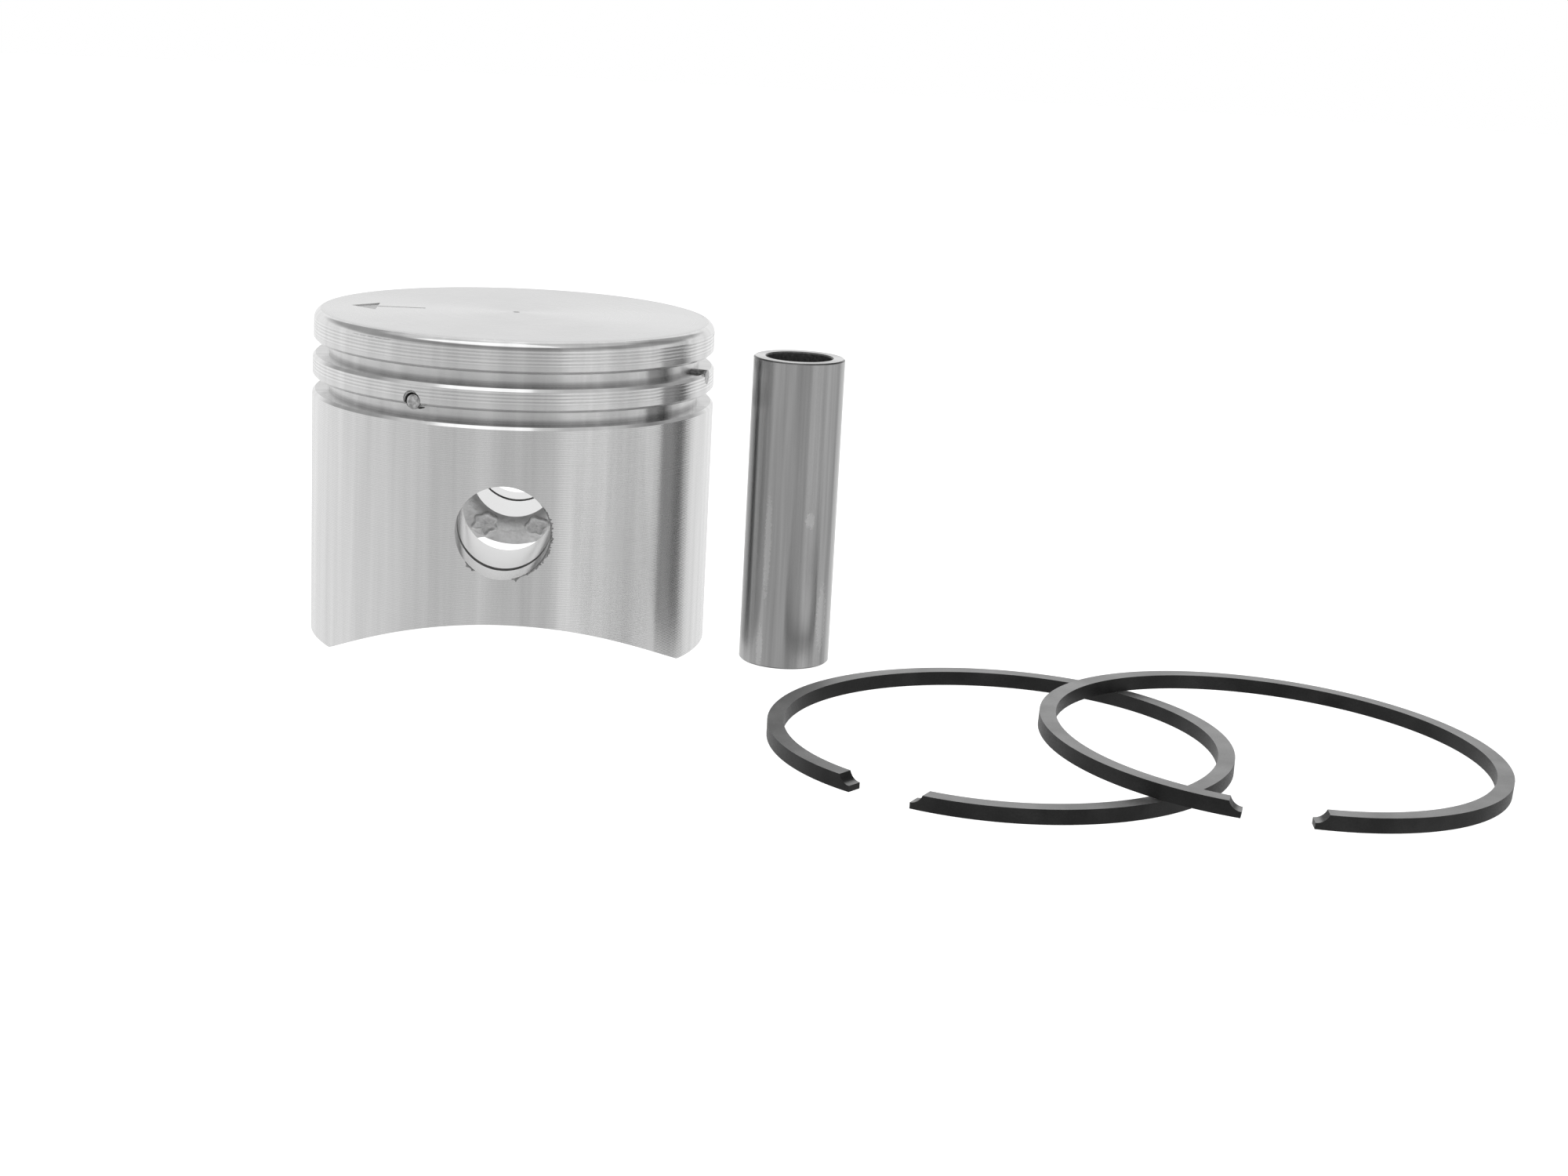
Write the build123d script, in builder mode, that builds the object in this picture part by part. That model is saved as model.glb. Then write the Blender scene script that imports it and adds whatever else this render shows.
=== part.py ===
"""Two-ring piston set for a small two-stroke engine: piston, wrist pin and two rings.

The set is laid out as it is handed over a counter. The piston stands on its skirt, the hollow
wrist pin stands beside it, one ring lies flat and the other ring leans on the first. Sizes are
in millimetres, +Z is up, and the origin is at the middle of the set's footprint, on the surface
that it stands on. The wrist pin bore runs along Y, and the arrow on the crown points along -X.
"""
from build123d import *
from math import cos, degrees, atan2, pi, radians, sin, sqrt
import os

# The cylinder that the piston runs in, and the piston's outside
cylinder_bore = 44.6
skirt_clearance = 0.025
piston_height = 36.3
crown_edge_radius = 1.2
top_land_relief = 0.15
second_land_relief = 0.05
skirt_foot_chamfer = 0.2

# Ring belt, measured down from the crown
top_land_height = 3.4
second_land_height = 2.45
ring_height = 1.5
ring_width = 1.65
ring_side_clearance = 0.05
ring_back_clearance = 0.2
groove_edge_chamfer = 0.3

# Piston rings as they spring open when they are off the piston
ring_springing = 0.0303
ring_end_gap = 0.25

# Pins that keep the ring ends away from the cylinder's ports
locating_pin_radius = 0.8
locating_pin_length = 4.0
locating_pin_offset = 0.42
locating_pin_mouth_radius = 0.93
locating_pin_mouth_depth = 0.45
locating_pin_angles = {"locating_pin_upper": -17.0, "locating_pin_lower": -116.0}
ring_scallop_clearance = 0.5

# Wrist pin, its bore and the grooves for its two circlips
wrist_pin_radius = 5.0
wrist_pin_length = 34.0
wrist_pin_wall = 1.4
wrist_pin_chamfer = 0.15
wrist_pin_clearance = 0.01
wrist_pin_height = 16.1
circlip_groove_width = 1.1
circlip_groove_depth = 0.5
circlip_end_play = 0.1

# Inside of the piston
skirt_wall = 2.2
skirt_draft = 0.5
skirt_lip_chamfer = 0.8
belt_wall = 4.9
crown_thickness = 4.8
crown_inner_radius = 4.0
boss_wall = 3.3
boss_spacing = 17.0
boss_web_width = 11.0
belt_shoulder = 4.0

# Crank web clearance, cut across the skirt under both ends of the wrist pin
arch_radius = 33.0
arch_height = 6.2

# Marks on the crown
mark_depth = 0.15
arrow_tail = 10.05
arrow_length = 8.15
arrow_line_width = 0.45
arrow_head_length = 2.9
arrow_head_width = 5.4
centre_mark_radius = 0.35

# Where the loose pieces stand, from the piston's axis
wrist_pin_place = (31.1, -9.0)
first_ring_place = (51.0, -39.4)
second_ring_place = (78.1, -42.0)
first_ring_gap_angle = -128.3
second_ring_gap_angle = -103.4
stack_clearance = 0.1
floor_clearance = 0.02

# Sizes that follow from those above
piston_radius = cylinder_bore / 2 - skirt_clearance
groove_height = ring_height + ring_side_clearance
groove_radius = cylinder_bore / 2 - ring_width - ring_back_clearance
first_groove_top = piston_height - top_land_height
first_groove_bottom = first_groove_top - groove_height
second_groove_top = first_groove_bottom - second_land_height
second_groove_bottom = second_groove_top - groove_height
bore_radius = wrist_pin_radius + wrist_pin_clearance
circlip_groove_start = wrist_pin_length / 2 + circlip_end_play
skirt_inner_radius = piston_radius - skirt_wall
belt_inner_radius = piston_radius - belt_wall
crown_underside = piston_height - crown_thickness
locating_pin_heights = {
    "locating_pin_upper": first_groove_bottom - locating_pin_offset,
    "locating_pin_lower": second_groove_top + locating_pin_offset,
}
locating_pin_outer_end = piston_radius - second_land_relief
ring_neutral_radius = (cylinder_bore - ring_width) / 2
ring_scallop_radius = locating_pin_radius + ring_scallop_clearance
cut_margin = 1.0
outline_steps = 48


def ring_line(offset):
    """Points of a free ring's outline, offset from its middle line, with the gap along +X.

    A ring cut to press evenly all round opens by the bending of a curved bar, so its middle
    line moves outwards and its ends draw back round the circle.
    """
    half_turn = pi - ring_end_gap / 2 / ring_neutral_radius
    spread = ring_springing * ring_neutral_radius
    points = []
    for step in range(outline_steps + 1):
        turn = half_turn * (2 * step / outline_steps - 1)
        bend = abs(turn)
        side = 1 if turn > 0 else -1
        outwards = spread * (1 + bend * sin(bend) / 2)
        backwards = spread * (bend + (sin(bend) - bend * cos(bend)) / 2)
        angle = pi + turn - side * backwards / ring_neutral_radius
        radius = ring_neutral_radius + outwards
        slope = side * spread * (sin(bend) + bend * cos(bend)) / 2 / radius
        points.append(
            (
                radius * cos(angle) + offset * cos(angle - slope),
                radius * sin(angle) + offset * sin(angle - slope),
            )
        )
    return points


def reach(gap_angle, direction):
    """How far a free ring reaches from its centre along a direction, in degrees."""
    turn = radians(direction - gap_angle)
    return max(x * cos(turn) + y * sin(turn) for x, y in ring_line(ring_width / 2))


# The second ring slopes down from the first ring to the surface, along the line of their centres
ring_spacing_x = second_ring_place[0] - first_ring_place[0]
ring_spacing_y = second_ring_place[1] - first_ring_place[1]
ring_spacing = sqrt(ring_spacing_x**2 + ring_spacing_y**2)
lean_angle = degrees(atan2(ring_spacing_y, ring_spacing_x))
lean_far_reach = reach(second_ring_gap_angle, lean_angle)
free_outer_radius = reach(first_ring_gap_angle, lean_angle)
free_inner_radius = free_outer_radius - ring_width
lean_contact = ring_spacing / 2 - (free_outer_radius**2 - free_inner_radius**2) / 2 / ring_spacing
lean_rise = ring_height + stack_clearance - floor_clearance
lean_slope = lean_rise / (lean_contact + lean_far_reach)
lean_height = floor_clearance + lean_slope * lean_far_reach

# The set's footprint, and the piston's axis from the middle of it
set_left = -piston_radius
set_right = second_ring_place[0] + reach(second_ring_gap_angle, 0)
set_back = piston_radius
set_front = min(
    first_ring_place[1] - reach(first_ring_gap_angle, -90),
    second_ring_place[1] - reach(second_ring_gap_angle, -90),
)
piston_x = -(set_left + set_right) / 2
piston_y = -(set_front + set_back) / 2
piston_axis = Axis((piston_x, piston_y, 0), (0, 0, 1))
piston_section = Plane((piston_x, piston_y, 0), x_dir=(1, 0, 0), z_dir=(0, -1, 0))
bore_section = Plane((piston_x, piston_y, wrist_pin_height), x_dir=(1, 0, 0), z_dir=(0, -1, 0))
bore_sides = (1, -1)


def locating_pin_plane(name):
    """Plane at a locating pin's outer end, facing outwards along the pin."""
    angle = radians(locating_pin_angles[name])
    outwards = (cos(angle), sin(angle), 0)
    end = (
        piston_x + locating_pin_outer_end * cos(angle),
        piston_y + locating_pin_outer_end * sin(angle),
        locating_pin_heights[name],
    )
    return Plane(end, x_dir=(-sin(angle), cos(angle), 0), z_dir=outwards)


def lay_plane(place, height, turn, slope=0, downhill=0):
    """Plane that a loose piece lies on, its +X turned from the set's, and sloping if it leans."""
    facing = radians(turn)
    run = radians(downhill)
    along = (cos(facing), sin(facing), -slope * cos(facing - run))
    upwards = (slope * cos(run), slope * sin(run), 1)
    origin = (piston_x + place[0], piston_y + place[1], height)
    return Plane(origin, x_dir=along, z_dir=upwards)


# Hollow inside of the piston: a drafted cup with the two wrist pin bosses left standing in it
with BuildPart() as piston_hollow:
    with BuildSketch(piston_section) as hollow_profile:
        shoulder_height = second_groove_bottom - belt_shoulder
        shoulder_radius = skirt_inner_radius - skirt_draft
        with BuildLine():
            Polyline(
                (0, -cut_margin),
                (skirt_inner_radius + skirt_lip_chamfer + cut_margin, -cut_margin),
                (skirt_inner_radius, skirt_lip_chamfer),
                (shoulder_radius, shoulder_height),
                (belt_inner_radius, second_groove_bottom),
                (belt_inner_radius, crown_underside),
                (0, crown_underside),
                close=True,
            )
        make_face()
        corners = hollow_profile.vertices()
        crown_corner = corners.sort_by_distance((belt_inner_radius, crown_underside))[0]
        fillet(crown_corner, radius=crown_inner_radius)
    revolve(axis=piston_axis)
    for side in bore_sides:
        with BuildSketch(bore_section.offset(side * boss_spacing / 2)) as boss_profile:
            Circle(bore_radius + boss_wall)
            Rectangle(boss_web_width, piston_height, align=(Align.CENTER, Align.MIN))
        extrude(amount=side * piston_radius, mode=Mode.SUBTRACT)

with BuildPart() as piston:
    # Turned outside: crown edge, lands, ring grooves and skirt
    with BuildSketch(piston_section) as outside_profile:
        top_land_radius = piston_radius - top_land_relief
        second_land_radius = piston_radius - second_land_relief
        with BuildLine():
            Polyline(
                (0, 0),
                (piston_radius - skirt_foot_chamfer, 0),
                (piston_radius, skirt_foot_chamfer),
                (piston_radius, second_groove_bottom - groove_edge_chamfer),
                (piston_radius - groove_edge_chamfer, second_groove_bottom),
                (groove_radius, second_groove_bottom),
                (groove_radius, second_groove_top),
                (second_land_radius - groove_edge_chamfer, second_groove_top),
                (second_land_radius, second_groove_top + groove_edge_chamfer),
                (second_land_radius, first_groove_bottom - groove_edge_chamfer),
                (second_land_radius - groove_edge_chamfer, first_groove_bottom),
                (groove_radius, first_groove_bottom),
                (groove_radius, first_groove_top),
                (top_land_radius - groove_edge_chamfer, first_groove_top),
                (top_land_radius, first_groove_top + groove_edge_chamfer),
                (top_land_radius, piston_height),
                (0, piston_height),
                close=True,
            )
        make_face()
        corners = outside_profile.vertices()
        crown_edge = corners.sort_by_distance((top_land_radius, piston_height))[0]
        fillet(crown_edge, radius=crown_edge_radius)
    revolve(axis=piston_axis)
    add(piston_hollow.part, mode=Mode.SUBTRACT)

    # Wrist pin bore and the circlip grooves near its two mouths
    with BuildSketch(bore_section):
        Circle(bore_radius)
    extrude(amount=piston_radius, both=True, mode=Mode.SUBTRACT)
    for side in bore_sides:
        with BuildSketch(bore_section.offset(side * circlip_groove_start)):
            Circle(bore_radius + circlip_groove_depth)
        extrude(amount=side * circlip_groove_width, mode=Mode.SUBTRACT)

    # Arch for the crank webs, through both sides of the skirt
    with BuildSketch(piston_section):
        with Locations((0, arch_height - arch_radius)):
            Circle(arch_radius)
    extrude(amount=piston_radius, both=True, mode=Mode.SUBTRACT)

    # Holes for the ring locating pins, the lower one opened out at its mouth
    for pin_name in locating_pin_angles:
        with BuildSketch(locating_pin_plane(pin_name)):
            Circle(locating_pin_radius)
        extrude(amount=-locating_pin_length, mode=Mode.SUBTRACT)
    with BuildSketch(locating_pin_plane("locating_pin_lower").offset(cut_margin)):
        Circle(locating_pin_mouth_radius)
    extrude(amount=-locating_pin_mouth_depth - cut_margin, mode=Mode.SUBTRACT)

    # Direction arrow and lathe centre mark, sunk into the crown
    crown_plane = Plane((piston_x, piston_y, piston_height))
    arrow_tip = arrow_tail + arrow_length
    arrow_neck = arrow_tip - arrow_head_length
    with BuildSketch(crown_plane):
        with BuildLine():
            Polyline(
                (-arrow_tail, arrow_line_width / 2),
                (-arrow_neck, arrow_line_width / 2),
                (-arrow_neck, arrow_head_width / 2),
                (-arrow_tip, 0),
                (-arrow_neck, -arrow_head_width / 2),
                (-arrow_neck, -arrow_line_width / 2),
                (-arrow_tail, -arrow_line_width / 2),
                close=True,
            )
        make_face()
        Circle(centre_mark_radius)
    extrude(amount=-mark_depth, mode=Mode.SUBTRACT)

piston.part.label = "piston"

# Two pins driven into the second land, one reaching into each ring groove
locating_pins = []
for pin_name in locating_pin_angles:
    with BuildPart() as locating_pin:
        with BuildSketch(locating_pin_plane(pin_name)):
            Circle(locating_pin_radius)
        extrude(amount=-locating_pin_length)
    locating_pin.part.label = pin_name
    locating_pins.append(locating_pin.part)

# Hollow wrist pin, standing on its end
with BuildPart() as wrist_pin:
    with BuildSketch(lay_plane(wrist_pin_place, 0, 0)):
        Circle(wrist_pin_radius)
        Circle(wrist_pin_radius - wrist_pin_wall, mode=Mode.SUBTRACT)
    extrude(amount=wrist_pin_length)
    chamfer(wrist_pin.edges().filter_by(GeomType.CIRCLE), length=wrist_pin_chamfer)

wrist_pin.part.label = "wrist_pin"


def make_ring(label, lie):
    """One free piston ring on the plane that it lies on, its gap along that plane's +X."""
    outer = ring_line(ring_width / 2)
    inner = ring_line(-ring_width / 2)
    with BuildPart() as ring:
        with BuildSketch(lie):
            with BuildLine():
                Spline(outer)
                Line(outer[-1], inner[-1])
                Spline(inner)
                Line(inner[0], outer[0])
            make_face()
        extrude(amount=ring_height)
        # Scallop in the top corner of each end, which straddles the locating pin
        for end_outer, end_inner in ((outer[0], inner[0]), (outer[-1], inner[-1])):
            across = Vector(end_outer[0] - end_inner[0], end_outer[1] - end_inner[1]).normalized()
            middle = Vector((end_outer[0] + end_inner[0]) / 2, (end_outer[1] + end_inner[1]) / 2)
            height = ring_height + locating_pin_offset
            end_plane = Plane(
                lie.from_local_coords(Vector(middle.X, middle.Y, height)),
                x_dir=lie.z_dir,
                z_dir=lie.from_local_coords(across) - lie.origin,
            )
            with BuildSketch(end_plane):
                Circle(ring_scallop_radius)
            extrude(amount=ring_width, both=True, mode=Mode.SUBTRACT)
    ring.part.label = label
    return ring.part


first_ring_lie = lay_plane(first_ring_place, 0, first_ring_gap_angle)
second_ring_lie = lay_plane(
    second_ring_place,
    lean_height,
    second_ring_gap_angle,
    slope=lean_slope,
    downhill=lean_angle,
)
piston_ring_1 = make_ring("piston_ring_1", first_ring_lie)
piston_ring_2 = make_ring("piston_ring_2", second_ring_lie)

os.makedirs("parts", exist_ok=True)
export_step(piston.part, "parts/piston.step")
export_step(wrist_pin.part, "parts/wrist_pin.step")
export_step(piston_ring_1, "parts/piston_ring_1.step")
export_step(piston_ring_2, "parts/piston_ring_2.step")
for pin in locating_pins:
    export_step(pin, f"parts/{pin.label}.step")
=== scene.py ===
"""Studio scene for a small two-stroke piston set: turned piston, wrist pin and split rings."""

import math
import random

import bmesh
import bpy
from mathutils import Matrix, Vector


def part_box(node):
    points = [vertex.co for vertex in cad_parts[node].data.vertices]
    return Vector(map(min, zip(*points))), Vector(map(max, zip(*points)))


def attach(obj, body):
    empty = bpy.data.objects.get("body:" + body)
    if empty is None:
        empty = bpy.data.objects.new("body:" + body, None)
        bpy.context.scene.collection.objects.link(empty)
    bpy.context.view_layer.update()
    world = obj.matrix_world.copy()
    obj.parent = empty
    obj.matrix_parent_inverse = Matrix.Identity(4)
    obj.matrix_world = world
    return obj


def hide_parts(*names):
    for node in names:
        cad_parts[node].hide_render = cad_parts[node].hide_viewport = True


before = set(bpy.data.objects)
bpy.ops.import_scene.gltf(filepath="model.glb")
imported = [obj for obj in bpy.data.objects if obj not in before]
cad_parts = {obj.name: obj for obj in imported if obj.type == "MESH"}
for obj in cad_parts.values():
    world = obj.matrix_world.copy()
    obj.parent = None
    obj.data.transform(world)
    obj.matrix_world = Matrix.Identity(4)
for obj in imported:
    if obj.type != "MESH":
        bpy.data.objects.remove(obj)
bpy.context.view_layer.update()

MM = 0.001

# The piston's place and overall size, from the CAD model
piston_low, piston_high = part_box("piston")
PISTON_RADIUS = (piston_high.x - piston_low.x) / 2
PISTON_HEIGHT = piston_high.z - piston_low.z
AXIS_X = (piston_low.x + piston_high.x) / 2
AXIS_Y = (piston_low.y + piston_high.y) / 2

# Sizes of the features that the finishes follow
BORE_HEIGHT = 16.1 * MM
BORE_RADIUS = 5.01 * MM
SKIRT_TOP = 27.35 * MM
GROOVE_ROOT = 20.45 * MM
GROOVE_BOTTOMS = (31.35 * MM, 27.35 * MM)
LAND_BOTTOMS = (32.9 * MM, 28.9 * MM)
BOSS_FACE = 8.5 * MM
PIN_ANGLE = -116.0
PIN_HEIGHT = 29.32 * MM
PIN_RADIUS = 0.8 * MM
PIN_LAND_RADIUS = 22.225 * MM
WRIST_PIN_SKIN = 1.3 * MM

# Where one finish gives way to the next: a mask is 0 at the first value and 1 at the second
CROWN_FACE = (PISTON_HEIGHT - 0.08 * MM, PISTON_HEIGHT - 0.04 * MM)
CROWN_EDGE = (PISTON_HEIGHT - 0.4 * MM, PISTON_HEIGHT - 0.3 * MM)
CROWN_UNDERSIDE = (PISTON_HEIGHT - 1.1 * MM, PISTON_HEIGHT - 1.2 * MM)
ARROW_ZONE = (20.5 * MM, 20.4 * MM)
CAST_ZONE = (20.4 * MM, 20.3 * MM)
BORE_ZONE = (BORE_RADIUS + 0.62 * MM, BORE_RADIUS + 0.55 * MM)
# Painted shade on the casting: its tone halved up to the first distance from the bore's axis, untouched
# beyond the second
BORE_SHADE = (BORE_RADIUS + 0.5 * MM, BORE_RADIUS + 1.5 * MM)
GROOVE_ROOT_ZONE = (GROOVE_ROOT + 0.25 * MM, GROOVE_ROOT + 0.15 * MM)
LAND_ZONE = (SKIRT_TOP - 0.06 * MM, SKIRT_TOP)
FACING_UP = (0.9, 0.95)
FACING_SIDEWAYS = (0.8, 0.7)
TILTED = (0.12, 0.25)

# Darkest and lightest grey, and lowest and highest roughness, of each finish
TURNED_GREY, TURNED_ROUGH, POLISHED_ROUGH = (0.73, 0.86), (0.23, 0.28), 0.12
CROWN_GREY, CROWN_ROUGH = (0.72, 0.76), (0.26, 0.32)
CAST_GREY, CAST_ROUGH = (0.8, 0.95), (0.46, 0.6)
BORE_GREY, BORE_ROUGH = (0.76, 0.84), (0.16, 0.22)
SUNK_GREY, SUNK_ROUGH = (0.56, 0.7), 0.5
GROUND_GREY, GROUND_ROUGH = (0.38, 0.5), (0.215, 0.235)
PIN_END_GREY, PIN_END_ROUGH = (0.62, 0.7), 0.3
# Painted dark reflection on the wrist pin's end chamfers
PIN_CHAMFER_PAINTED_DARK = 0.13
# Darker and rougher inside the wrist pin's bore
PIN_BORE_GREY, PIN_BORE_ROUGH = (0.1, 0.2), 0.5
RING_GREY, LAPPED_GREY, RING_ROUGH = (0.022, 0.04), (0.28, 0.38), (0.38, 0.52)
SHEARED_GREY, SHEARED_ROUGH = (0.34, 0.8), (0.32, 0.5)

# Spacing of the lathe's lines, then how deep each tool's marks are, in millimetres
SKIRT_LINE_PITCH = 0.19 * MM
LAND_LINE_PITCH = 0.36 * MM
SKIRT_LINE_DEPTH = 0.005
LAND_LINE_DEPTH = 0.014
FINE_LINE_DEPTHS = (0.006, 0.0005)
CROWN_LINE_DEPTH = 0.005
REAMED_DEPTH = 0.006
SUNK_DEPTH = 0.08
CAST_GRAIN_DEPTH = 0.06
CAST_LUMP_DEPTH = 0.3
GROUND_LINE_DEPTH = 0.0004
PIN_BORE_GRAIN_DEPTH = 0.02

# Gloss drawn out across the tool marks, by how much, and its turn from the direction round the axis
TURNED_GLOSS = (1.0, 0.3)
CROWN_GLOSS = 0.5
GROUND_GLOSS = 0.9
GLOSS_TURN = 0.25


# ---------------------------------------------------------------- material helpers


class Tree:
    """A small builder for a node tree."""

    def __init__(self, tree):
        self.tree = tree

    def add(self, kind, **values):
        node = self.tree.nodes.new(kind)
        for key, value in values.items():
            setattr(node, key, value)
        return node

    def feed(self, socket, value):
        """Link another node's output to a socket, or set the socket's own value."""
        if isinstance(value, bpy.types.NodeSocket):
            self.tree.links.new(value, socket)
        else:
            socket.default_value = value

    def math(self, operation, *inputs):
        node = self.add("ShaderNodeMath", operation=operation)
        for socket, value in zip(node.inputs, inputs):
            self.feed(socket, value)
        return node.outputs[0]

    def fold(self, operation, parts):
        result = parts[0]
        for part in parts[1:]:
            result = self.math(operation, result, part)
        return result

    def plus(self, *parts):
        return self.fold("ADD", parts)

    def times(self, *parts):
        return self.fold("MULTIPLY", parts)

    def most(self, *parts):
        return self.fold("MAXIMUM", parts)

    def rest(self, share):
        """What a share leaves of one."""
        return self.math("SUBTRACT", 1.0, share)

    def size(self, value):
        return self.math("ABSOLUTE", value)

    def length(self, first, second):
        """Length of the vector with these two parts."""
        return self.math("SQRT", self.plus(self.times(first, first), self.times(second, second)))

    def ramp(self, value, low, high, to_low=0.0, to_high=1.0):
        """A value carried from one range to another, and held at its ends."""
        node = self.add("ShaderNodeMapRange", clamp=True)
        self.feed(node.inputs["Value"], value)
        node.inputs["From Min"].default_value = low
        node.inputs["From Max"].default_value = high
        node.inputs["To Min"].default_value = to_low
        node.inputs["To Max"].default_value = to_high
        return node.outputs["Result"]

    def spread(self, noise, low, high):
        """The usual run of a noise, carried to a range."""
        return self.ramp(noise, 0.3, 0.7, low, high)

    def blend(self, share, first, second):
        """The first value where the share is 0, and the second where it is 1."""
        node = self.add("ShaderNodeMix", data_type="FLOAT")
        for index, value in ((0, share), (2, first), (3, second)):
            self.feed(node.inputs[index], value)
        return node.outputs[0]

    def split(self, vector):
        node = self.add("ShaderNodeSeparateXYZ")
        self.feed(node.inputs[0], vector)
        return node.outputs

    def join(self, x, y, z):
        node = self.add("ShaderNodeCombineXYZ")
        for socket, value in zip(node.inputs, (x, y, z)):
            self.feed(socket, value)
        return node.outputs[0]

    def tones(self, value, stops):
        """Grey along a row of stops, each a position from 0 to 1 and a tone."""
        node = self.add("ShaderNodeValToRGB")
        self.feed(node.inputs[0], value)
        ramp = node.color_ramp
        while len(ramp.elements) < len(stops):
            ramp.elements.new(0.5)
        for element, (position, tone) in zip(ramp.elements, stops):
            element.position = position
            element.color = (tone, tone, tone, 1)
        return node.outputs[0]


class Nodes(Tree):
    """The node tree of one material, with the surface's own coordinates and noises."""

    def __init__(self, name):
        self.material = bpy.data.materials.new(name)
        self.material.use_nodes = True
        super().__init__(self.material.node_tree)
        self.shader = self.tree.nodes["Principled BSDF"]

    def place(self, x=0.0, y=0.0, z=0.0):
        """The surface point's own coordinates, from the given point, in metres."""
        moved = self.add("ShaderNodeVectorMath", operation="SUBTRACT")
        self.feed(moved.inputs[0], self.add("ShaderNodeTexCoord").outputs["Object"])
        self.feed(moved.inputs[1], (x, y, z))
        return moved.outputs[0]

    def facing(self):
        """The three parts of the direction that the surface faces."""
        return self.split(self.add("ShaderNodeNewGeometry").outputs["True Normal"])

    def noise(self, vector, scale, detail=3.0, roughness=0.5):
        node = self.add("ShaderNodeTexNoise")
        self.feed(node.inputs["Vector"], vector)
        node.inputs["Scale"].default_value = scale
        node.inputs["Detail"].default_value = detail
        node.inputs["Roughness"].default_value = roughness
        return node.outputs["Fac"]

    def grey(self, value):
        """A neutral colour of the given strength."""
        return self.join(value, value, value)

    def bump(self, height, distance):
        node = self.add("ShaderNodeBump")
        node.inputs["Strength"].default_value = 1.0
        node.inputs["Distance"].default_value = distance
        self.feed(node.inputs["Height"], height)
        return node.outputs["Normal"]

    def set(self, **sockets):
        for name, value in sockets.items():
            self.feed(self.shader.inputs[name.replace("_", " ")], value)

    def turned_gloss(self, amount):
        """Gloss drawn out across marks that run round the vertical axis through the object's middle."""
        tangent = self.add("ShaderNodeTangent", direction_type="RADIAL", axis="Z")
        self.set(Anisotropic=amount, Anisotropic_Rotation=GLOSS_TURN, Tangent=tangent.outputs[0])


# ---------------------------------------------------------------- materials


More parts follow.
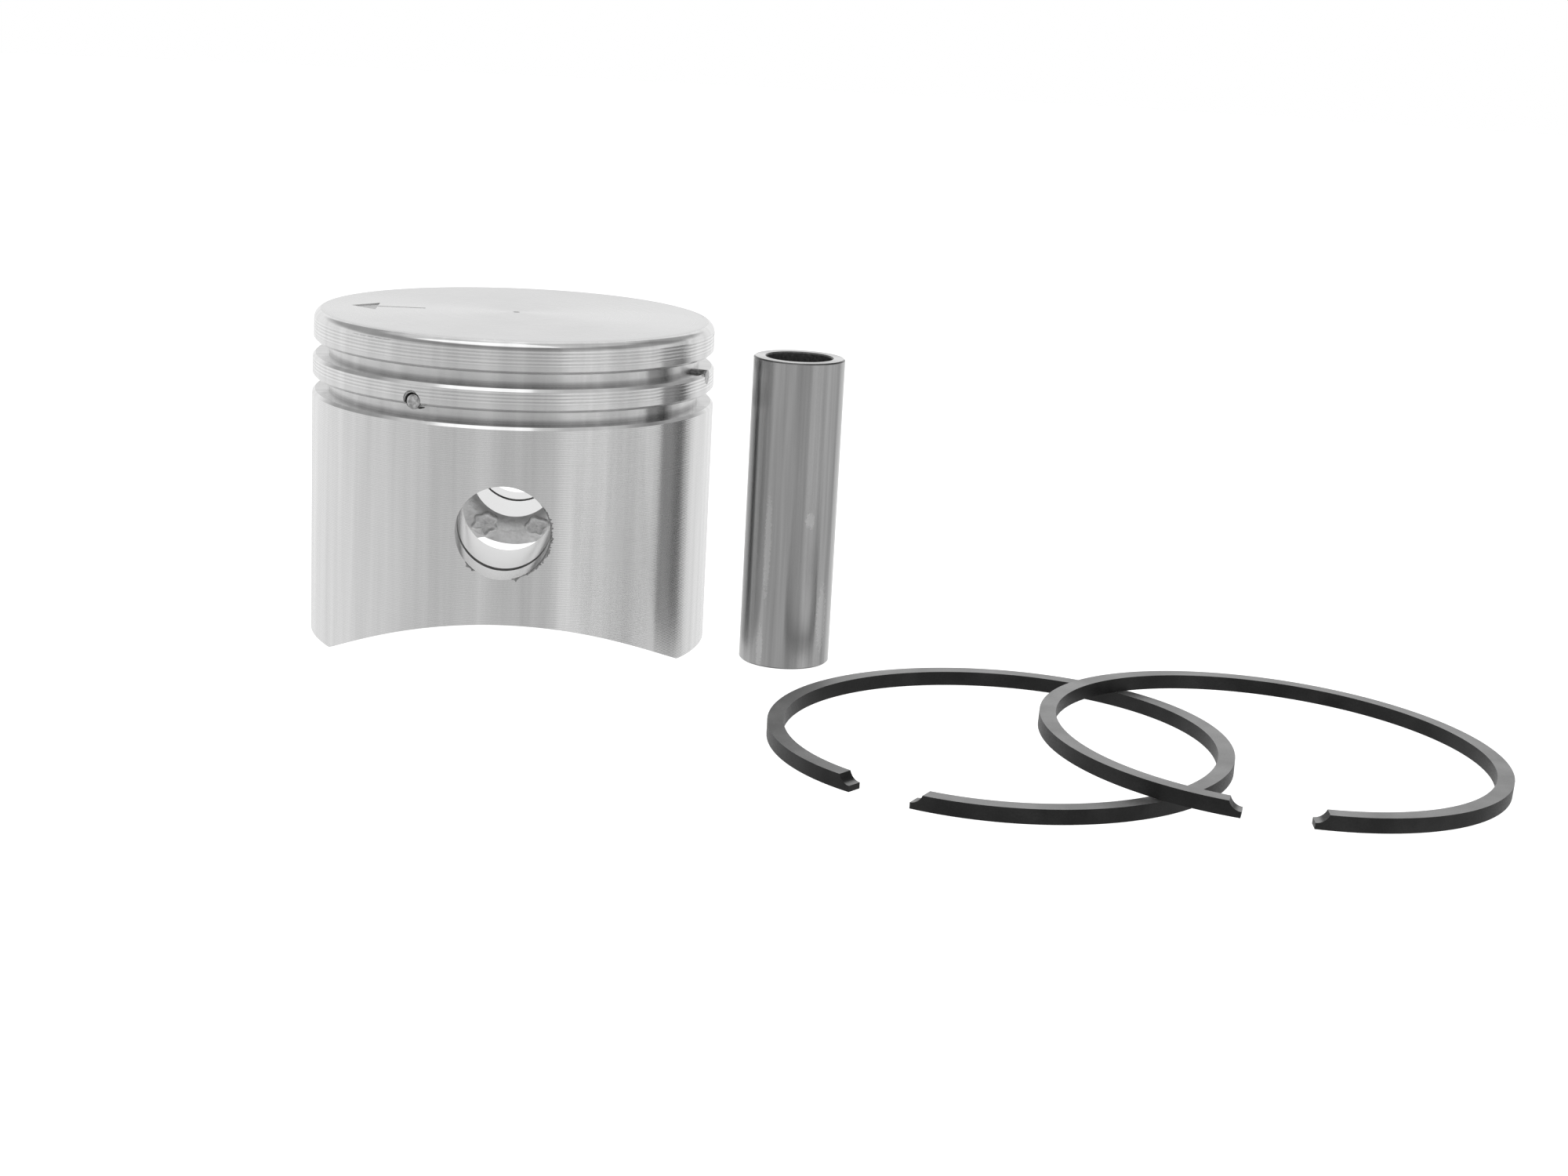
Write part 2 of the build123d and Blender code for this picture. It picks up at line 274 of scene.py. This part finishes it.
def piston_metal():
    """Aluminium piston: turned outside, faced crown, reamed bore and as-cast inside."""
    nodes = Nodes("piston_aluminium")
    plus, times, most, rest = nodes.plus, nodes.times, nodes.most, nodes.rest
    ramp, spread, blend, noise, join = nodes.ramp, nodes.spread, nodes.blend, nodes.noise, nodes.join
    across, along, up = nodes.split(nodes.place(AXIS_X, AXIS_Y, piston_low.z))
    radius = nodes.length(across, along)
    angle = nodes.math("ARCTAN2", along, across)
    facing = nodes.facing()

    # Which finish is where: crown, what is sunk into it, reamed bore, casting and turned outside
    upward = ramp(facing[2], *FACING_UP)
    top = ramp(up, *CROWN_FACE)
    near_top = ramp(up, *CROWN_EDGE)
    arrow_zone = ramp(radius, *ARROW_ZONE)
    crown = times(upward, most(top, times(rest(arrow_zone), near_top)))
    sunk = times(upward, near_top, rest(top), arrow_zone)
    bore_distance = nodes.length(across, nodes.math("SUBTRACT", up, BORE_HEIGHT))
    bored = times(ramp(bore_distance, *BORE_ZONE), ramp(nodes.size(facing[1]), *FACING_SIDEWAYS))
    inner = times(ramp(radius, *CAST_ZONE), ramp(up, *CROWN_UNDERSIDE))
    cast = times(inner, rest(bored))
    lathe = rest(most(inner, crown, bored, sunk))
    on_land = ramp(up, *LAND_ZONE)
    root = ramp(radius, *GROOVE_ROOT_ZONE)
    rounded = ramp(facing[2], *TILTED)
    # Groove floors, the turned faces that look up; the tone paints shade on them
    flank = times(upward, rest(root))

    # Lathe lines: fine on the skirt, coarser on the lands, all running right round
    drift = noise(join(0.0, 0.0, times(up, 2600.0)), 1.0)
    skirt_line = nodes.math("SINE", plus(times(up, 2 * math.pi / SKIRT_LINE_PITCH), times(drift, 5.0)))
    land_line = nodes.math("SINE", plus(times(up, 2 * math.pi / LAND_LINE_PITCH), times(drift, 4.0)))
    plain = most(rounded, root)
    for bottom in LAND_BOTTOMS:
        plain = most(plain, times(ramp(up, bottom - 0.05 * MM, bottom),
                                  ramp(up, bottom + 0.95 * MM, bottom + 0.65 * MM)))
    # Painted shade at the foot of each groove's root, full in its lowest 0.2 mm next to the groove floor and
    # fading out 0.6 mm up
    shade = 0.0
    for bottom in GROOVE_BOTTOMS:
        shade = most(shade, times(ramp(up, bottom + 0.6 * MM, bottom + 0.2 * MM),
                                  ramp(up, bottom - 0.1 * MM, bottom), root))
    line = blend(on_land, times(skirt_line, SKIRT_LINE_DEPTH), times(land_line, LAND_LINE_DEPTH))
    line = times(line, rest(plain))

    # Finer marks and grains
    fine = noise(join(0.0, 0.0, times(up, 7000.0)), 1.0)
    ring_line = noise(join(times(angle, 0.5), 0.0, times(radius, 6000.0)), 1.0)
    grain = noise(nodes.place(), 2600.0, detail=4.0, roughness=0.65)
    lumps = noise(nodes.place(), 420.0)
    ream = noise(join(0.0, times(along, 5200.0), 0.0), 1.0, detail=2.0)
    lathe_height = plus(line, times(fine, blend(rounded, *FINE_LINE_DEPTHS)))
    cast_height = plus(times(grain, CAST_GRAIN_DEPTH), times(lumps, CAST_LUMP_DEPTH))
    height = plus(times(lathe, lathe_height), times(crown, ring_line, CROWN_LINE_DEPTH),
                  times(cast, cast_height), times(bored, ream, REAMED_DEPTH),
                  times(sunk, grain, SUNK_DEPTH))

    # Tone: soft streaks down the skirt, faint stains, a darker stamped arrow, sandy casting, and painted
    # shade and sheen along the lathe lines, on the groove floors, at the foot of the groove roots and on the
    # casting near the bore's rim
    streak = noise(join(times(angle, 9.0), 0.0, times(up, 14.0)), 1.5, detail=4.0)
    stains = noise(nodes.place(), 150.0, detail=5.0, roughness=0.6)
    scratches = ramp(noise(join(times(angle, 60.0), 0.0, times(up, 1200.0)), 2.2, detail=2.0), 0.66, 0.74)
    # Painted shade and sheen of the lathe lines: their height lightens and darkens the tone, on top of their
    # bump
    lathe_tone = plus(spread(streak, *TURNED_GREY), times(line, 8.0), times(flank, -0.25),
                      times(scratches, -0.03), times(shade, -0.3))
    crown_tone = plus(spread(stains, *CROWN_GREY), spread(ring_line, -0.015, 0.015))
    # Painted shade on the casting next to the bore's rim
    cast_tone = times(ramp(bore_distance, *BORE_SHADE, 0.5, 1.0),
                      plus(spread(lumps, *CAST_GREY), spread(grain, -0.09, 0.05)))
    tone = plus(times(lathe, lathe_tone), times(crown, crown_tone), times(cast, cast_tone),
                times(bored, spread(ream, *BORE_GREY)), times(sunk, spread(grain, *SUNK_GREY)))
    rough = plus(times(lathe, blend(rounded, spread(fine, *TURNED_ROUGH), POLISHED_ROUGH)),
                 times(crown, spread(ring_line, *CROWN_ROUGH)), times(cast, spread(grain, *CAST_ROUGH)),
                 times(bored, spread(ream, *BORE_ROUGH)), times(sunk, SUNK_ROUGH))
    nodes.set(Base_Color=nodes.grey(tone), Metallic=1.0, Roughness=rough, Normal=nodes.bump(height, MM))
    nodes.turned_gloss(plus(times(lathe, blend(rounded, *TURNED_GLOSS)), times(crown, CROWN_GLOSS)))
    return nodes.material


# Rubbed marks on the wrist pin: angle round it and height, then half of each width, in degrees and mm
PIN_MARKS = ((-123.0, 13.8, 5.0, 6.2), (-69.0, 16.8, 7.0, 0.9), (-43.0, 5.5, 9.0, 4.0),
             (-128.0, 2.2, 5.0, 2.6))


def pin_steel():
    """Ground wrist pin: bright lapped ends, a rubbed outside with a painted dark reflection on its end
    chamfers, and a darker, grainy bore.
    """
    low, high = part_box("wrist_pin")
    nodes = Nodes("wrist_pin_steel")
    plus, times, most, rest = nodes.plus, nodes.times, nodes.most, nodes.rest
    ramp, spread, blend, noise, join = nodes.ramp, nodes.spread, nodes.blend, nodes.noise, nodes.join
    across, along, up = nodes.split(nodes.place((low.x + high.x) / 2, (low.y + high.y) / 2, low.z))
    angle = nodes.math("ARCTAN2", along, across)
    inner = (high.x - low.x) / 2 - WRIST_PIN_SKIN
    inside = ramp(nodes.length(across, along), inner + 0.05 * MM, inner - 0.05 * MM)
    level = nodes.size(nodes.facing()[2])
    end = ramp(level, *FACING_UP)
    chamfer = times(ramp(level, 0.4, 0.5), rest(end))
    streak = noise(join(times(angle, 5.0), 0.0, times(up, 25.0)), 1.6, detail=4.0)
    smudge = noise(join(times(across, 1.6), times(along, 1.6), times(up, 0.3)), 260.0,
                   detail=5.0, roughness=0.6)
    grain = noise(nodes.place(), 3000.0, roughness=0.6)
    fine = noise(join(times(angle, 0.8), 0.0, times(up, 2500.0)), 1.0)
    rubbed = ramp(smudge, 0.62, 0.75, 0.0, 0.4)
    for where, height, wide, tall in PIN_MARKS:
        turned = nodes.math("SUBTRACT", angle, math.radians(where))
        raised = nodes.math("SUBTRACT", up, height * MM)
        beside = nodes.math("DIVIDE", turned, math.radians(wide))
        above = nodes.math("DIVIDE", raised, tall * MM)
        wavy = plus(times(beside, beside), times(above, above), spread(grain, -0.5, 0.5))
        rubbed = most(rubbed, ramp(wavy, 1.1, 0.5, 0.0, 0.8))
    body = plus(spread(streak, *GROUND_GREY), times(rubbed, 0.13))
    # The end chamfers get a painted dark reflection
    outside = blend(chamfer, blend(end, body, spread(grain, *PIN_END_GREY)), PIN_CHAMFER_PAINTED_DARK)
    # Darker inside the bore
    tone = blend(inside, outside, spread(grain, *PIN_BORE_GREY))
    ground = plus(times(rubbed, 0.08), spread(fine, *GROUND_ROUGH))
    rough = blend(inside, blend(end, ground, PIN_END_ROUGH), PIN_BORE_ROUGH)
    height = plus(times(fine, GROUND_LINE_DEPTH), times(inside, grain, PIN_BORE_GRAIN_DEPTH))
    nodes.set(Base_Color=nodes.grey(tone), Metallic=1.0, Roughness=rough, Normal=nodes.bump(height, MM))
    nodes.turned_gloss(times(rest(inside), GROUND_GLOSS))
    return nodes.material


def ring_iron():
    """Dark phosphated iron, lapped lighter on its flat faces."""
    nodes = Nodes("ring_iron")
    where = nodes.place()
    grain = nodes.noise(where, 5200.0, roughness=0.6)
    patches = nodes.noise(where, 240.0, detail=4.0)
    lapped = nodes.ramp(nodes.size(nodes.facing()[2]), 0.85, 0.97)
    tone = nodes.blend(lapped, nodes.spread(patches, *RING_GREY), nodes.spread(patches, *LAPPED_GREY))
    speckle = nodes.times(nodes.spread(grain, -0.15, 0.15), tone)
    nodes.set(Base_Color=nodes.grey(nodes.plus(tone, speckle)), Metallic=0.85,
              Roughness=nodes.spread(grain, *RING_ROUGH), Normal=nodes.bump(grain, 0.008 * MM))
    return nodes.material


def sheared_steel():
    """End of a small steel pin, cut off and turned down with the piston."""
    nodes = Nodes("locating_pin_steel")
    grain = nodes.noise(nodes.place(), 2400.0, detail=4.0, roughness=0.6)
    nodes.set(Base_Color=nodes.grey(nodes.ramp(grain, 0.35, 0.65, *SHEARED_GREY)), Metallic=1.0,
              Roughness=nodes.spread(grain, *SHEARED_ROUGH), Normal=nodes.bump(grain, 0.05 * MM))
    return nodes.material


def grey_metal(name, dark, light, rough, scale):
    """Broken or cast metal with a grainy tone."""
    nodes = Nodes(name)
    grain = nodes.noise(nodes.place(), scale, detail=4.0, roughness=0.65)
    nodes.set(Base_Color=nodes.grey(nodes.spread(grain, dark, light)), Metallic=1.0,
              Roughness=nodes.spread(grain, rough - 0.08, rough + 0.1), Normal=nodes.bump(grain, 0.05 * MM))
    return nodes.material


ring_metal = ring_iron()
locating_metal = sheared_steel()
for node, material in (
    ("piston", piston_metal()),
    ("wrist_pin", pin_steel()),
    ("piston_ring_1", ring_metal),
    ("piston_ring_2", ring_metal),
    ("locating_pin_upper", locating_metal),
    ("locating_pin_lower", locating_metal),
):
    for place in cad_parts[node].material_slots:
        place.material = material

# ---------------------------------------------------------------- small shapes the lathe and drill left


def piece(name, points, faces, material, body):
    """A mesh object from points in metres, smooth shaded, that moves with its body."""
    mesh = bpy.data.meshes.new(name)
    mesh.from_pydata([tuple(point) for point in points], [], faces)
    tidy = bmesh.new()
    tidy.from_mesh(mesh)
    bmesh.ops.recalc_face_normals(tidy, faces=tidy.faces)
    tidy.to_mesh(mesh)
    tidy.free()
    mesh.materials.append(material)
    for face in mesh.polygons:
        face.use_smooth = True
    made = bpy.data.objects.new(name, mesh)
    bpy.context.collection.objects.link(made)
    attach(made, body)
    return made


def strip_faces(columns, rows, closed=False):
    """Quads between neighbouring columns of a grid of points, each column holding some rows."""
    faces = []
    for column in range(columns if closed else columns - 1):
        here = column * rows
        beside = (column + 1) % columns * rows
        faces += [(here + row, beside + row, beside + row + 1, here + row + 1) for row in range(rows - 1)]
    return faces


def on_skirt(x, z, out=0.0):
    """Point on the front of the skirt, x and z from the bore's axis, raised by a little."""
    radius = PISTON_RADIUS + out
    return Vector((AXIS_X + x, AXIS_Y - math.sqrt(radius ** 2 - x ** 2), piston_low.z + BORE_HEIGHT + z))


def bore_burr(name, start, stop, reach, lift, seed):
    """Ragged lip that the drill pushed up along part of the bore's mouth, angles in degrees."""
    chance = random.Random(seed)
    steps = max(6, int((stop - start) / 1.5))
    points = []
    for step in range(steps + 1):
        share = step / steps
        turn = math.radians(start + (stop - start) * share)
        swell = math.sin(math.pi * share) ** 0.5
        width = reach * swell * (0.25 + 0.75 * chance.random() ** 2)
        raised = lift * swell * (0.4 + 0.6 * chance.random())
        for outwards, height in ((-0.03 * MM, -0.12 * MM), (0.0, raised), (width * 0.5, raised * 0.7),
                                 (width, -0.02 * MM)):
            far = BORE_RADIUS + outwards
            points.append(on_skirt(far * math.cos(turn), far * math.sin(turn), height))
    return piece(name, points, strip_faces(steps + 1, 4), burr_metal, "piston")


def cast_patch(name, x, z, wide, tall, seed):
    """Rough raised patch of casting skin on the far boss's inner face, seen through the bore."""
    chance = random.Random(seed)
    waves = [(chance.uniform(0.5, 1.0), chance.randint(2, 7), chance.uniform(0, 6.3)) for wave in range(5)]
    columns, rows = 48, 14
    points = []
    for column in range(columns):
        turn = 2 * math.pi * column / columns
        edge = 1 + 0.09 * sum(size * math.sin(count * turn + start) for size, count, start in waves)
        for row in range(rows):
            share = row / (rows - 1)
            rim = math.exp(-((share - 0.8) / 0.12) ** 2)
            height = 0.22 + 0.25 * rim * (0.6 + 0.4 * math.sin(3 * turn + seed)) + 0.05 * chance.random()
            height = -0.05 if row == rows - 1 else height
            points.append(Vector((AXIS_X + x + wide * edge * share * math.cos(turn),
                                  AXIS_Y + BOSS_FACE - height * MM,
                                  piston_low.z + z + tall * edge * share * math.sin(turn))))
    return piece(name, points, strip_faces(columns, rows, closed=True), cast_metal, "piston")


def around_pin(right, rise, out):
    """Point near the lower locating pin: to its right, above its middle and out from the land."""
    turn = math.radians(PIN_ANGLE)
    outward = Vector((math.cos(turn), math.sin(turn), 0))
    beside = Vector((-math.sin(turn), math.cos(turn), 0))
    drop = PIN_LAND_RADIUS - math.sqrt(PIN_LAND_RADIUS ** 2 - right ** 2)
    return (Vector((AXIS_X, AXIS_Y, piston_low.z + PIN_HEIGHT + rise)) + beside * right
            + outward * (PIN_LAND_RADIUS - drop + out))


# Peened end of the lower locating pin: share of its radius and height from the land, in millimetres
PEENED_PROFILE = ((1.0, -4.0), (1.0, -0.46), (1.0, -0.3), (0.98, -0.06), (0.9, 0.02), (0.66, 0.035),
                  (0.4, 0.02), (0.15, 0.03), (0.01, 0.03))
# How far that end is knocked aside, to the right and upwards, and the height where that starts
PEENED_ASIDE = (0.09, -0.06)
PEENED_FROM = -0.4


def peened_pin():
    """Lower locating pin: its end sits to one side of the hole's mouth and is lightly peened."""
    chance = random.Random(5)
    columns = 40
    points = []
    for column in range(columns):
        turn = 2 * math.pi * column / columns
        for share, height in PEENED_PROFILE:
            right, rise = PEENED_ASIDE if height > PEENED_FROM else (0.0, 0.0)
            rough = (chance.random() - 0.5) * 0.02 if height > -0.1 else 0.0
            points.append(around_pin(share * PIN_RADIUS * math.cos(turn) + right * MM,
                                     share * PIN_RADIUS * math.sin(turn) + rise * MM,
                                     (height + rough) * MM))
    faces = strip_faces(columns, len(PEENED_PROFILE), closed=True)
    made = piece("peened_pin", points, faces, locating_metal, "piston")
    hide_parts("locating_pin_lower")


def pin_band(name, start, stop, inner, outer, heights, material, seed):
    """Part of a ring round the lower locating pin, angles in degrees, sizes in millimetres."""
    chance = random.Random(seed)
    steps = 30
    points = []
    for step in range(steps + 1):
        share = step / steps
        turn = math.radians(start + (stop - start) * share)
        taper = math.sin(math.pi * share) ** 0.6
        for row, height in enumerate(heights):
            across = inner + (outer - inner) * taper * row / (len(heights) - 1)
            raised = height * taper * (0.8 + 0.4 * chance.random())
            reach = across * MM
            points.append(around_pin(reach * math.cos(turn), reach * math.sin(turn), raised * MM))
    return piece(name, points, strip_faces(steps + 1, len(heights)), material, "piston")


def sliver(name, start, stop, thick, material, seed):
    """Thin ragged flake of metal on the land, from one point to another, in millimetres from the pin."""
    chance = random.Random(seed)
    steps = 14
    points = []
    for step in range(steps + 1):
        share = step / steps
        right = start[0] + (stop[0] - start[0]) * share
        rise = start[1] + (stop[1] - start[1]) * share + 0.03 * (chance.random() - 0.5)
        half = thick * math.sin(math.pi * (0.08 + 0.84 * share)) * (0.6 + 0.8 * chance.random())
        for side, out in ((1.0, -0.02), (0.4, 0.05), (-0.4, 0.05), (-1.0, -0.02)):
            points.append(around_pin(right * MM, (rise + side * half) * MM, out * MM))
    return piece(name, points, strip_faces(steps + 1, 4), material, "piston")


# Metals of the small pieces: darkest and lightest grey, roughness and the scale of their grain
burr_metal = grey_metal("burr_aluminium", 0.1, 0.5, 0.4, 5200.0)
cast_metal = grey_metal("cast_aluminium", 0.72, 1.0, 0.75, 1900.0)
# Near-black, for painted shade: the band in the gap round the lower locating pin and the flake of the drill's
# tear beside it
painted_shade_black = grey_metal("painted_shade_black", 0.01, 0.03, 0.6, 3000.0)
for burr in (
    bore_burr("bore_burr_right", -66, 40, 0.5 * MM, 0.14 * MM, 3),
    bore_burr("bore_burr_low", -78, -66, 0.5 * MM, 0.1 * MM, 8),
    bore_burr("bore_burr_left", -140, -124, 0.42 * MM, 0.1 * MM, 4),
    cast_patch("cast_patch_left", -3.3 * MM, 10.2 * MM, 1.5 * MM, 1.35 * MM, 11),
    cast_patch("cast_patch_right", 2.65 * MM, 10.1 * MM, 1.35 * MM, 1.2 * MM, 23),
    pin_band("pin_lip", 60, 205, 0.93, 1.17, (-0.05, 0.05, 0.06, -0.01), burr_metal, 2),
    # Flake where the drill tore the land to the lower right of the lower locating pin: the flake is real, its
    # near-black tone painted shade
    sliver("pin_tear_shade", (0.68, -0.66), (1.5, -0.52), 0.09, painted_shade_black, 6),
    # Near-black band sunk 0.3 mm into the gap between the lower locating pin and its hole: painted shade
    pin_band("pin_gap_painted_shade", 20, 260, 0.76, 0.92, (-0.3, -0.28), painted_shade_black, 9),
):
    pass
peened_pin()


# ---------------------------------------------------------------- studio


def studio_floor():
    """Light table: a pale glowing sheet, which leaves no shadow and isn't seen in the metal."""
    bpy.ops.mesh.primitive_circle_add(vertices=64, radius=1.5, fill_type="NGON")
    floor = bpy.context.object
    floor.name = "studio_floor"
    nodes = Nodes("floor_paper")
    grain = nodes.noise(nodes.place(), 900.0, detail=3.0)
    nodes.set(Base_Color=nodes.grey(nodes.spread(grain, 0.38, 0.4)), Roughness=0.9,
              Emission_Color=(1, 1, 1, 1), Emission_Strength=1.0)
    floor.data.materials.append(nodes.material)
    floor.visible_glossy = False


# What the metal reflects. Tone of the studio's walls by direction, in degrees to the right of the front
WALL_TONES = (
    (-180, 0.93), (-140, 0.88), (-116, 0.86), (-104, 0.86), (-90, 0.75), (-76, 0.8), (-62, 0.67), (-40, 0.62),
    (-16, 0.65), (8, 0.56), (29, 0.58), (34, 0.88), (60, 0.82), (66, 0.66), (82, 0.76), (98, 0.78),
    (108, 0.6), (121, 0.62), (128, 0.86), (180, 0.93),
)
# The share of it that is left by height, from straight down at 0 to straight up at 1
HEIGHT_TONES = ((0.0, 1.0), (0.5, 1.0), (0.63, 1.0), (0.72, 0.46), (0.86, 0.42), (0.91, 0.8))
# Directions at the back where the walls keep their full tone at every height, from and to
BACK = (math.radians(140), math.radians(155))
# Soft panel overhead: sine of its height from and to, its strength, and its sides, each fading inwards
PANEL_HEIGHT = (0.74, 0.84)
PANEL_STRENGTH = 0.75
PANEL_SIDES = ((math.radians(37), math.radians(33)), (math.radians(-88), math.radians(-80)))


def studio_world():
    """White round the camera's view, and in reflections grey walls with a soft panel overhead."""
    world = bpy.data.worlds.new("studio")
    world.use_nodes = True
    bpy.context.scene.world = world
    nodes = Tree(world.node_tree)
    nodes.tree.nodes.clear()
    x, y, z = nodes.split(nodes.add("ShaderNodeTexCoord").outputs["Generated"])
    turn = nodes.math("ARCTAN2", x, nodes.times(y, -1.0))
    round_share = nodes.plus(nodes.math("DIVIDE", turn, 2 * math.pi), 0.5)
    walls = nodes.tones(round_share, [(degrees / 360 + 0.5, tone) for degrees, tone in WALL_TONES])
    height_share = nodes.plus(nodes.times(z, 0.5), 0.5)
    behind = nodes.ramp(nodes.size(turn), *BACK)
    lit = nodes.times(walls, nodes.most(nodes.tones(height_share, HEIGHT_TONES), behind))
    panel = nodes.ramp(z, *PANEL_HEIGHT, 0.0, PANEL_STRENGTH)
    for side in PANEL_SIDES:
        panel = nodes.times(panel, nodes.ramp(turn, *side))
    seen = nodes.add("ShaderNodeLightPath").outputs["Is Camera Ray"]
    background = nodes.add("ShaderNodeBackground")
    nodes.feed(background.inputs["Color"], nodes.blend(seen, nodes.plus(lit, panel), 1.0))
    nodes.feed(nodes.add("ShaderNodeOutputWorld").inputs["Surface"], background.outputs[0])


# The camera's place from the piston's foot, and how it is turned, in degrees
CAMERA_PLACE = (10.53 * MM, -270.67 * MM, 73.44 * MM)
CAMERA_PITCH = 14.0
CAMERA_TURN = -4.42
CAMERA_ROLL = 3.08
CAMERA_LENS = 55.74
CAMERA_SENSOR = 36.0


def studio_camera():
    """Camera a little above the piston, level with a person looking across a table."""
    camera = bpy.data.cameras.new("camera")
    camera.sensor_width = CAMERA_SENSOR
    camera.lens = CAMERA_LENS
    camera.clip_start = 0.01
    body = bpy.data.objects.new("camera", camera)
    bpy.context.collection.objects.link(body)
    body.location = Vector((AXIS_X, AXIS_Y, piston_low.z)) + Vector(CAMERA_PLACE)
    pitch, turn, roll = math.radians(CAMERA_PITCH), math.radians(CAMERA_TURN), math.radians(CAMERA_ROLL)
    body.rotation_euler = (Matrix.Rotation(turn, 3, "Z") @ Matrix.Rotation(math.pi / 2 - pitch, 3, "X")
                           @ Matrix.Rotation(roll, 3, "Z")).to_euler()
    bpy.context.scene.camera = body


studio_floor()
studio_world()
studio_camera()
scene = bpy.context.scene
scene.view_settings.view_transform = "Standard"
scene.view_settings.look = "None"
